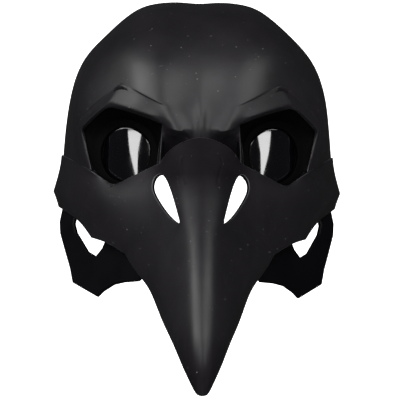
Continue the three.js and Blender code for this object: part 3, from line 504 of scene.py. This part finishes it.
TUCK = [
    (0, -100.2, -6), (6, -98.8, -6.3), (12, -85, -8.5), (20, -77, -15), (26.6, -86.5, -17)]
RECESS = [
    (0, -100.2, 1), (6, -98.6, 1), (11.5, -91, 3.5), (18.5, -84, 4.5), (25.6, -88.5, 1)]
SOCKET_EDGE = [
    (0, -103, 7), (3.8, -100, 7), (10.3, -102.4, 7), (18, -103, 8.2), (25.2, -95.5, 12.4),
    (42.5, -89.5, 19.5), (60.5, -75.5, 24.5), (69, -66.5, 17.5), (77, -55.5, 10), (74.5, -56.5, -3.5),
    (72, -58, -17)]
BROW_LIP = [
    (0, -103.6, 13), (3.8, -100.2, 12.5), (11, -101.4, 13), (18.3, -102.6, 13.8), (24.6, -99.8, 14.6),
    (42, -95.5, 21), (60, -80.5, 27), (70, -70.5, 19), (79, -58.5, 10.5), (77, -57, -3.5),
    (74.5, -55.5, -16)]
BROW_TOP = [
    (0, -103, 19.5), (3.8, -99.9, 19), (13.5, -99.3, 20), (19.2, -100.8, 22.6), (26.5, -100.2, 25),
    (39.5, -94.5, 31.5), (51.5, -83.5, 39.5), (68.5, -67.5, 27), (83, -51, 13.5), (82, -46.5, -1),
    (80, -42, -13.6)]
BROW_STEP = [
    (0, -100, 28), (4.5, -99.7, 27), (13.8, -99.6, 25), (19.4, -100.6, 24), (26.6, -100.6, 26.3),
    (39.3, -95.2, 32.8), (51.8, -82.2, 41.4), (69.2, -67.8, 28.2), (84, -50.8, 14.6), (83.8, -42, 0),
    (83.9, -31, -11.4)]
RIM = [
    (0, 12, 101), (11, 12, 102.3), (21, 12, 102.3), (31.5, 12, 101), (42, 12, 98), (54, 12, 89), (64, 11, 79),
    (80.5, 10, 63), (88.5, 9, 41), (92.3, 8, 13), (93.5, 6, -6.5)]
DOME_RISE = [42, 42, 44, 43, 40, 34, 26, 20, 14, 10, 3]
DOME_REACH = [63, 64, 66, 67, 65, 60, 52, 42, 30, 20, 12]
DOME_LEAN = [0, 0, -0.5, -1, -0.5, 2, 4.5, 6.5, 8, 9, 9]
DOME_STEPS = [0.25, 0.5, 0.75]


def dome_point(k, t):
    start, end = Vector(BROW_STEP[k]), Vector(RIM[k])
    rise = start + Vector(((end.x - start.x) * 0.35, DOME_LEAN[k], DOME_RISE[k]))
    reach = end - Vector(((end.x - start.x) * 0.08, DOME_REACH[k], 0))
    s = 1 - t
    return tuple(start * s ** 3 + rise * 3 * s * s * t + reach * 3 * s * t * t + end * t ** 3)


def cranium_cage():
    cage = Cage()
    strip(cage, TUCK, RECESS, 0, 4)
    strip(cage, RECESS, SOCKET_EDGE, 0, 4)
    dome = [[dome_point(k, t) for k in range(len(RIM))] for t in DOME_STEPS]
    rows = [SOCKET_EDGE, BROW_LIP, BROW_TOP, BROW_STEP, *dome, RIM]
    for lower, upper in zip(rows, rows[1:]):
        strip(cage, lower, upper, 0, len(RIM) - 1)
    cage.crease(BROW_LIP[4:9], 2.6)
    cage.crease(BROW_TOP[3:9], 3)
    cage.crease(BROW_STEP[3:9], 1)
    cage.crease([BROW_TOP[6], BROW_LIP[6]], 2.4)
    cage.crease([BROW_TOP[8], BROW_LIP[8], SOCKET_EDGE[8]], 2.4)
    cage.crease(SOCKET_EDGE[2:5], 3)
    cage.crease([SOCKET_EDGE[2], BROW_LIP[2]], 1)
    for p in (SOCKET_EDGE[4], SOCKET_EDGE[6], SOCKET_EDGE[8], SOCKET_EDGE[-1], RIM[-1], TUCK[-1],
              BROW_TOP[6]):
        cage.pin(p)
    return cage


BEAK_TOP = [
    (0, -107.5, 4), (5.5, -106.6, 3.4), (12, -105.5, 1), (20.5, -102, -3.5), (26.5, -97.5, -12.5),
    (41, -88, -19.5), (56.5, -75, -27), (72, -58, -17.6), (83.8, -30.5, -10.6), (94.8, 6, -5.7)]
BEAK_UPPER = [
    (0, -119, -10.5), (5.5, -117.8, -11), (13, -115, -12.5), (24.5, -106.5, -18.8), (29.5, -101, -20.2),
    (42, -91, -25), (57.5, -79, -31.5), (73, -60, -24.5), (85.5, -32, -18.5), (95.8, 7, -15.5)]
BEAK_MID = [
    (0, -130, -24), (5.5, -128.7, -24.5), (13, -125.5, -25.5), (20.3, -117, -27.5), (32.3, -104, -28.5),
    (44, -94, -33), (58.5, -81, -38), (75, -61, -35.5), (88, -32, -30), (100.5, 9, -31)]
BEAK_LOWER = [
    (0, -141, -36.5), (5.3, -139.6, -37), (12, -136, -37.5), (16.8, -129, -39), (27.5, -113.5, -37.5),
    (41.5, -98, -44.5), (58.5, -81, -49), (73.5, -61, -46), (87, -32, -40), (98, 8.5, -37)]
BEAK_JOWL = [
    (0, -151.5, -49), (5, -150.2, -49.4), (11, -146.5, -49.6), (13.6, -140.5, -51), (19.5, -129.5, -48.5),
    (38.5, -107, -57), (59.5, -76, -64.8), (71.5, -57, -62), (81, -31, -49.8), (96.6, 6.5, -42)]
# The beak below the nostrils: ridge line as y and z, lower edge, and the shape of each section between them.
RIDGE = [
    (-161.5, -62), (-171.8, -76.5), (-180.6, -90.5), (-188, -104.5), (-194, -118.5), (-197, -131.5),
    (-195.6, -143.5), (-190.5, -153.2)]
LOWER_EDGE = [
    (48.5, -88, -71.5), (42.5, -100, -81.5), (32.8, -115.5, -91.5), (27.6, -129, -104),
    (23.5, -143, -113.5), (17.3, -159, -124.5), (11.7, -175, -137.5), (6.8, -179.5, -147)]
RIDGE_FLAT = [4.8, 4.6, 4.4, 4.1, 3.8, 3.4, 2.8, 1.6]
SHOULDER = [10.3, 9.8, 9.2, 8.6, 7.6, 6.4, 5, 2.9]
SHOULDER_DROP = [0.8, 0.8, 0.8, 0.8, 0.8, 0.8, 0.6, -0.5]
SIDE_SAG = [0, 0, 0, 0, 0, 0, 0, 0.3]
SIDE_BULGE = [1.2, 1.8, 2, 2, 1.8, 1.4, 0.8, 0.2]


def beak_section(k):
    y, z = RIDGE[k]
    edge = Vector(LOWER_EDGE[k])
    shoulder = Vector((SHOULDER[k], y + SHOULDER[k] * 0.5, z - SHOULDER_DROP[k]))
    swell = Vector((SIDE_BULGE[k], -SIDE_BULGE[k] * 0.7, -SIDE_SAG[k]))
    side = [tuple(shoulder.lerp(edge, t) + swell) for t in (0.3, 0.64)]
    flat = (RIDGE_FLAT[k], y + 1.3, z - SHOULDER_DROP[k] * 0.4)
    return [(0, y, z), flat, tuple(shoulder), *side, LOWER_EDGE[k]]


def beak_cage():
    cage = Cage()
    upper = [BEAK_TOP, BEAK_UPPER, BEAK_MID, BEAK_LOWER, BEAK_JOWL]
    for r in range(1, len(upper)):
        strip(cage, upper[r], upper[r - 1], 0, 3)
        if r == 1:
            strip(cage, upper[r], upper[r - 1], 3, 4)
        strip(cage, upper[r], upper[r - 1], 4, 9)
    sections = [beak_section(k) for k in range(len(RIDGE))]
    cage.face([BEAK_JOWL[5], sections[0][5], BEAK_JOWL[6]])
    above = BEAK_JOWL
    for section in sections:
        strip(cage, section, above, 0, 5)
        above = section
    cage.crease([row[1] for row in (*upper, *sections)], 0.2)
    for p in (BEAK_TOP[4], BEAK_TOP[6], BEAK_TOP[7], BEAK_TOP[9], BEAK_MID[9], BEAK_JOWL[9], BEAK_JOWL[7],
              BEAK_JOWL[3], LOWER_EDGE[0]):
        cage.pin(p)
    return cage


# ---- pieces ---------------------------------------------------------------------------------------------

SHELL_SMOOTHING = 4
CUP_SMOOTHING = 3
PAD_SMOOTHING = 2


def add_piece(name, mesh, material, body):
    piece = bpy.data.objects.new(name, mesh)
    scene.collection.objects.link(piece)
    mesh.materials.append(material)
    mesh.polygons.foreach_set("use_smooth", [True] * len(mesh.polygons))
    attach(piece, body)
    return piece


def add_modifier(piece, name, kind, **settings):
    modifier = piece.modifiers.new(name, kind)
    for key, value in settings.items():
        setattr(modifier, key, value)
    return modifier


def moulded_sheet(name, cage, material, node_name):
    """A shell of one wall thickness, grown inwards, with cut walls darkened as painted shade and pale rims
    that are a painted highlight.
    """
    piece = add_piece(name, cage.mesh(name), material, "shell")
    piece.data.materials.append(CUT_WALL_PAINTED_SHADE)
    piece.data.materials.append(RIM_PAINTED_HIGHLIGHT)
    add_modifier(piece, "round", "SUBSURF", levels=SHELL_SMOOTHING, render_levels=SHELL_SMOOTHING)
    # The wall's rim faces take the second material, darkened as painted shade.
    add_modifier(piece, "wall", "SOLIDIFY", thickness=WALL * MM, offset=-1.0, use_even_offset=False,
                 material_offset_rim=1)
    # The rounded edges take the third material, the pale colour painted as a highlight.
    add_modifier(piece, "edges", "BEVEL", width=0.3 * MM, segments=2, limit_method="WEIGHT",
                 use_clamp_overlap=False, harden_normals=False, material=2)
    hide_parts(node_name)
    return piece


moulded_sheet("cranium", cranium_cage(), CRANIUM_ABS, "cranium_shell")
moulded_sheet("beak", beak_cage(), BEAK_ABS, "beak_shell")


def mesh_from(name, points, faces):
    mesh = bpy.data.meshes.new(name)
    mesh.from_pydata([tuple(Vector(p) * MM) for p in points], [], faces)
    mesh.validate()
    return mesh


def ring_faces(rings, count):
    """Quads between neighbouring rings of the same number of points."""
    faces = []
    for r in range(rings - 1):
        for k in range(count):
            n = (k + 1) % count
            faces.append([r * count + k, r * count + n, (r + 1) * count + n, (r + 1) * count + k])
    return faces


def flip_for(hand, points):
    """Points given for the left side, mirrored when the piece is for the right."""
    return [mirrored(p) for p in points] if hand == "right" else points


# ---- eye cups and lenses --------------------------------------------------------------------------------
EYE_CENTRE = Vector((48.7, -63.5, -6.4))
EYE_TOE_OUT = math.radians(24)
EYE_AXIS = Vector((math.sin(EYE_TOE_OUT), -math.cos(EYE_TOE_OUT), 0))
EYE_ACROSS = Vector((math.cos(EYE_TOE_OUT), math.sin(EYE_TOE_OUT), 0))
UP = Vector((0, 0, 1))
LENS_APERTURE = 18.4
CUP_DISC_THICK = 2.4
LENS_THICK = 1.6
LENS_CLEARANCE = 0.4
LENS_BULGE_ACROSS = 31.0    # radius of curvature of the lens from side to side
LENS_BULGE_UP = 190.0       # radius of curvature of the lens from top to bottom
LENS_CROWN = 5.0            # how far the middle of the lens stands forward of its flange
CUP_FRONT = [
    (24.2, -94.2, 13.4), (42.3, -88.4, 20.8), (60.9, -74.2, 25.8), (69.8, -65.1, 18.6), (78.2, -54, 10.6),
    (75.8, -54.3, -3.5), (73.2, -55.3, -17.2), (64.5, -62.3, -23.3), (57, -70.3, -28), (41, -83.3, -21),
    (25.8, -87.7, -15), (24.8, -88.2, 1)]
CUP_BACK_ANGLES = [137, 104, 72, 50, 29, 5, -24, -47, -70, -113, -158, 165]
CUP_BACK_RADIUS = 23.2
RING_GROWTH = 1.047         # a smoothed ring of twelve points settles this much inside its corners


def eye_point(radius, degrees, depth):
    """Point on a circle about the lens axis: 0 degrees outwards, 90 up, and depth into the head."""
    angle = math.radians(degrees)
    spoke = EYE_ACROSS * radius * math.cos(angle) + UP * radius * math.sin(angle)
    return tuple(EYE_CENTRE + spoke - EYE_AXIS * depth)


def eye_cup(hand):
    """Six-sided funnel that runs back to a flat ring round the lens."""
    back = [Vector(eye_point(CUP_BACK_RADIUS * RING_GROWTH, angle, 0.2)) for angle in CUP_BACK_ANGLES]
    points = [tuple(p) for p in CUP_FRONT]
    for t in (0.06, 0.5):
        points += [tuple(Vector(p).lerp(q, t)) for p, q in zip(CUP_FRONT, back)]
    points += [tuple(q) for q in back]
    for radius, depth in ((LENS_APERTURE, 0.0), (LENS_APERTURE, CUP_DISC_THICK)):
        points += [eye_point(radius * RING_GROWTH, angle, depth) for angle in CUP_BACK_ANGLES]
    mesh = mesh_from(f"eye_cup_{hand}", flip_for(hand, points), ring_faces(6, len(CUP_FRONT)))
    work = bmesh.new()
    work.from_mesh(mesh)
    if hand == "right":
        bmesh.ops.reverse_faces(work, faces=work.faces[:])
    layer = work.edges.layers.float.new("crease_edge")
    count = len(CUP_FRONT)
    for edge in work.edges:
        a, b = sorted(v.index for v in edge.verts)
        rim = a // count == b // count and a // count in (0, 3, 4)
        corner = b - a == count and a % 2 == 0 and a // count < 2
        edge[layer] = 0.75 if rim else 0.5 if corner else 0.0
    pins = work.verts.layers.float.new("crease_vert")
    work.verts.ensure_lookup_table()
    for k in range(0, count, 2):
        work.verts[k][pins] = 1.0
    work.to_mesh(mesh)
    work.free()
    cup = add_piece(f"eye_cup_{hand}", mesh, CUP, "shell")
    add_modifier(cup, "round", "SUBSURF", levels=CUP_SMOOTHING, render_levels=CUP_SMOOTHING)
    add_modifier(cup, "wall", "SOLIDIFY", thickness=CUP_WALL * MM, offset=1.0)
    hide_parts(f"eye_cup_{hand}")
    return cup


def lens_sag(across, up):
    return (LENS_BULGE_ACROSS - math.sqrt(LENS_BULGE_ACROSS ** 2 - across ** 2)
            + LENS_BULGE_UP - math.sqrt(LENS_BULGE_UP ** 2 - up ** 2))


def lens(hand):
    """Dark lens, bowed more from side to side than from top to bottom."""
    segments, rings = 72, 18
    rim = LENS_APERTURE - LENS_CLEARANCE
    points, faces = [], []
    for depth in (0.0, LENS_THICK):
        start = len(points)
        for r in range(rings + 1):
            radius = rim * r / rings
            for k in range(segments):
                angle = 2 * math.pi * k / segments
                across, up = radius * math.cos(angle), radius * math.sin(angle)
                front = LENS_CROWN - lens_sag(across, up) - CUP_DISC_THICK - depth
                points.append(tuple(EYE_CENTRE + EYE_ACROSS * across + UP * up + EYE_AXIS * front))
        grid = ring_faces(rings + 1, segments)
        faces += [[start + i for i in (face if depth else reversed(face))] for face in grid]
    outer, inner = rings * segments, (2 * rings + 1) * segments
    for k in range(segments):
        n = (k + 1) % segments
        faces.append([outer + n, outer + k, inner + k, inner + n])
    mesh = mesh_from(f"lens_{hand}", flip_for(hand, points), faces)
    work = bmesh.new()
    work.from_mesh(mesh)
    bmesh.ops.remove_doubles(work, verts=work.verts[:], dist=1e-6)
    bmesh.ops.recalc_face_normals(work, faces=work.faces[:])
    work.to_mesh(mesh)
    work.free()
    glass = add_piece(f"lens_{hand}", mesh, LENS, "shell")
    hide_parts(f"lens_{hand}")
    return glass


for hand in ("left", "right"):
    eye_cup(hand)
    lens(hand)

# ---- foam pads ------------------------------------------------------------------------------------------
PAD_GAP = 0.3
PAD_SKIN = 1.2              # depth of the layer that keeps the foam's glued face square
FOREHEAD_PAD_THICK = 11.0
TEMPLE_PAD_THICK = 8.8


def sheet_depth(cage, level):
    """Smoothed copy of a sheet: positions in millimetres with outward directions, and its faces."""
    mesh = cage.mesh("measuring_sheet")
    holder = bpy.data.objects.new("measuring_sheet", mesh)
    scene.collection.objects.link(holder)
    add_modifier(holder, "round", "SUBSURF", levels=level, render_levels=level)
    smooth = holder.evaluated_get(bpy.context.evaluated_depsgraph_get()).to_mesh()
    spots = [(v.co / MM, v.normal.copy()) for v in smooth.vertices]
    faces = [list(f.vertices) for f in smooth.polygons]
    bpy.data.objects.remove(holder)
    return spots, faces


def foam_pad(name, spots, faces, keep, thickness, node_name):
    """Cut foam block that follows the inside of the shell, with its free face and edges rounded over."""
    chosen = [f for f in faces if keep(sum((spots[i][0] for i in f), Vector()) / len(f))]
    used = sorted({i for f in chosen for i in f})
    index = {v: k for k, v in enumerate(used)}
    points, quads = [], []
    layers = (0.0, PAD_SKIN, thickness * 0.55, thickness)
    for depth in layers:
        points += [tuple(spots[i][0] - spots[i][1] * (WALL + PAD_GAP + depth)) for i in used]
    n = len(used)
    edges = {}
    for f in chosen:
        quads.append([index[i] for i in f])
        quads.append([(len(layers) - 1) * n + index[i] for i in reversed(f)])
        for a, b in zip(f, f[1:] + f[:1]):
            edges[(index[a], index[b])] = True
    for a, b in edges:
        if (b, a) not in edges:
            for r in range(len(layers) - 1):
                quads.append([r * n + b, r * n + a, (r + 1) * n + a, (r + 1) * n + b])
    mesh = mesh_from(name, points, quads)
    work = bmesh.new()
    work.from_mesh(mesh)
    loose = [v for v in work.verts if not v.link_faces]
    bmesh.ops.delete(work, geom=loose, context="VERTS")
    work.to_mesh(mesh)
    work.free()
    pad = add_piece(name, mesh, FOAM, "shell")
    add_modifier(pad, "round", "SUBSURF", levels=PAD_SMOOTHING, render_levels=PAD_SMOOTHING)
    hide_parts(node_name)
    return pad


def on_forehead(p):
    return abs(p.x) < 42 and 44 < p.z < 76 and p.y < -40


def on_temple(p, side):
    return side * p.x > 60 and -44 < p.y < -17 and 6 < p.z < 44


spots, faces = sheet_depth(cranium_cage(), 1)
foam_pad("forehead_pad", spots, faces, on_forehead, FOREHEAD_PAD_THICK, "forehead_pad")
foam_pad("temple_pad_left", spots, faces, lambda p: on_temple(p, 1), TEMPLE_PAD_THICK, "temple_pad_left")
foam_pad("temple_pad_right", spots, faces, lambda p: on_temple(p, -1), TEMPLE_PAD_THICK, "temple_pad_right")

# ---- head strap -----------------------------------------------------------------------------------------
TAB_X = 80.9
TAB_BAR_Y = 22.4
TAB_BAR_DEEP = 4.2
TAB_HALF_THICK = 1.0
WEB_WIDTH = 25.0
WEB_THICK = 1.4
STRAP_TURN_Y = 58.0
STRAP_BACK = 105.0
BAR_CLEARANCE = 0.4         # between the band and the bar it loops round
BAR_TURN = 1.4              # depth of the band's turn in front of the bar
STITCHED_END_Y = 53.2       # where the folded end of the band stops
MERGE_Y = 33.5              # where the folded end comes back against the band


def strap_path():
    """Plan of the band from its stitched end, round the left bar, round the head to the right end."""
    half = WEB_THICK / 2
    bar_front = TAB_BAR_Y - BAR_CLEARANCE - half
    bar_rear = TAB_BAR_Y + TAB_BAR_DEEP + BAR_CLEARANCE
    loop = TAB_HALF_THICK + BAR_CLEARANCE + half
    turn_start = bar_front + BAR_TURN
    left = [(TAB_X + half, STITCHED_END_Y), (TAB_X + half, MERGE_Y), (TAB_X + loop, bar_rear - 1),
            (TAB_X + loop, turn_start)]
    for k in range(1, 8):
        angle = math.pi * k / 8
        left.append((TAB_X + loop * math.cos(angle), turn_start - BAR_TURN * math.sin(angle)))
    left += [(TAB_X - loop, turn_start), (TAB_X - loop, bar_rear - 1), (TAB_X - half, MERGE_Y)]
    steps = 44
    around = []
    for k in range(steps + 1):
        angle = math.pi * k / steps
        around.append(((TAB_X - half) * math.cos(angle),
                       STRAP_TURN_Y + (STRAP_BACK - half - STRAP_TURN_Y) * math.sin(angle)))
    right = [(-x, y) for x, y in reversed(left)]
    return left + around + right


def head_strap():
    """Woven elastic band, one piece, with its ribs running across it."""
    plan = strap_path()
    rows = 8
    points, faces, uvs = [], [], []
    length = 0.0
    lengths = []
    for k, (x, y) in enumerate(plan):
        if k:
            length += math.dist(plan[k - 1], (x, y))
        lengths.append(length)
        for r in range(rows + 1):
            points.append((x, y, WEB_WIDTH * (r / rows - 0.5)))
    for k in range(len(plan) - 1):
        for r in range(rows):
            a = k * (rows + 1) + r
            faces.append([a, a + 1, a + rows + 2, a + rows + 1])
            uvs.append([(lengths[k], r), (lengths[k], r + 1), (lengths[k + 1], r + 1), (lengths[k + 1], r)])
    mesh = mesh_from("head_strap", points, faces)
    layer = mesh.uv_layers.new(name="weave")
    for polygon, corners in zip(mesh.polygons, uvs):
        for loop_index, (u, v) in zip(polygon.loop_indices, corners):
            layer.data[loop_index].uv = (u * MM, v * WEB_WIDTH / rows * MM)
    band = add_piece("head_strap", mesh, WEBBING, "strap")
    add_modifier(band, "weave_thickness", "SOLIDIFY", thickness=WEB_THICK * 0.92 * MM, offset=0.0)
    add_modifier(band, "soft_edges", "BEVEL", width=0.35 * MM, segments=2, limit_method="ANGLE")
    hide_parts("head_strap")
    return band


head_strap()

# ---- finishes on the solids that show as they are -------------------------------------------------------
for part_name, finish in (
        ("jaw_bracket", BRACKET), ("lens_retainer", RETAINER), ("temple_plate", FITTING),
        ("strap_tab", FITTING), ("strap_keeper", FITTING),
        ("bracket_screw_rear", SCREW), ("bracket_screw_front", SCREW),
        ("nose_screw", SCREW), ("retainer_screw_top", SCREW), ("retainer_screw_inner", SCREW),
        ("retainer_screw_outer", SCREW), ("temple_screw_up", SCREW), ("temple_screw_down", SCREW),
        ("pivot_bolt", PIVOT), ("pivot_nut", PIVOT)):
    for hand in ("left", "right"):
        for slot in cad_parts[f"{part_name}_{hand}"].material_slots:
            slot.material = finish

# ---- studio ---------------------------------------------------------------------------------------------
FLOOR_Z = -0.9
FLOOR_HALF = 6
WALL_HALF = 1.6
WALL_Y = 2.6
WALL_TOP = 1.2
MASK_MIDDLE = (0, -0.08, -0.02)
# The strip softboxes on both sides: a height, then x and y of the inner and of the outer edge there.
STRIP_ROWS = [
    (-0.26, (0.47, -1.54), (0.52, -1.52)),
    (0.06, (0.4, -1.55), (0.9, -1.3)),
    (0.3, (0.18, -1.58), (1.05, -1.2))]
# Name, place, width, height and power.
SOFTBOXES = [
    ("top_left_bank", (-1.2, -1.1, 1.1), 1.4, 1.1, 14),
    ("top_right_bank", (1.0, -1.1, 1.15), 1.3, 1.0, 12),
    ("left_fill", (-1.6, -0.6, 0.95), 0.8, 1.0, 9),
    ("front_key", (0.12, -1.3, 0.95), 0.4, 0.5, 2.5),
    ("floor_bounce", (0, -0.55, -0.88), 1.2, 0.5, 3)]

add_camera()
floor = add_plane("floor", [
    (-FLOOR_HALF, -FLOOR_HALF, FLOOR_Z), (FLOOR_HALF, -FLOOR_HALF, FLOOR_Z),
    (FLOOR_HALF, FLOOR_HALF, FLOOR_Z), (-FLOOR_HALF, FLOOR_HALF, FLOOR_Z)],
    studio_white("seamless_paper_white", PAPER_WHITE))
backdrop = add_plane("backdrop", [
    (-WALL_HALF, WALL_Y, FLOOR_Z), (WALL_HALF, WALL_Y, FLOOR_Z),
    (WALL_HALF, WALL_Y, WALL_TOP), (-WALL_HALF, WALL_Y, WALL_TOP)],
    studio_white("lit_paper_white", PURE_WHITE, 1.6))
# The paper would light the silhouette from behind, so the mask doesn't reflect it.
floor.visible_glossy = False
backdrop.visible_glossy = False

strip_cloth = studio_light("strip_light", 5.0)
for side, hand in ((-1, "left"), (1, "right")):
    for lower, upper, level in zip(STRIP_ROWS, STRIP_ROWS[1:], ("low", "high")):
        corners = [(lower[1], lower[0]), (lower[2], lower[0]), (upper[2], upper[0]), (upper[1], upper[0])]
        corners = [(side * x, y, z) for (x, y), z in corners]
        add_plane(f"strip_{hand}_{level}", corners[::side], strip_cloth)
for name, place, width, height, power in SOFTBOXES:
    add_softbox(name, place, MASK_MIDDLE, width, height, power)

world = bpy.data.worlds.new("studio")
world.use_nodes = True
sky = world.node_tree.nodes["Background"]
sky.inputs["Color"].default_value = linear("#e8e8ea")
sky.inputs["Strength"].default_value = 0.028
scene.world = world
scene.view_settings.view_transform = "Standard"

bpy.context.view_layer.update()
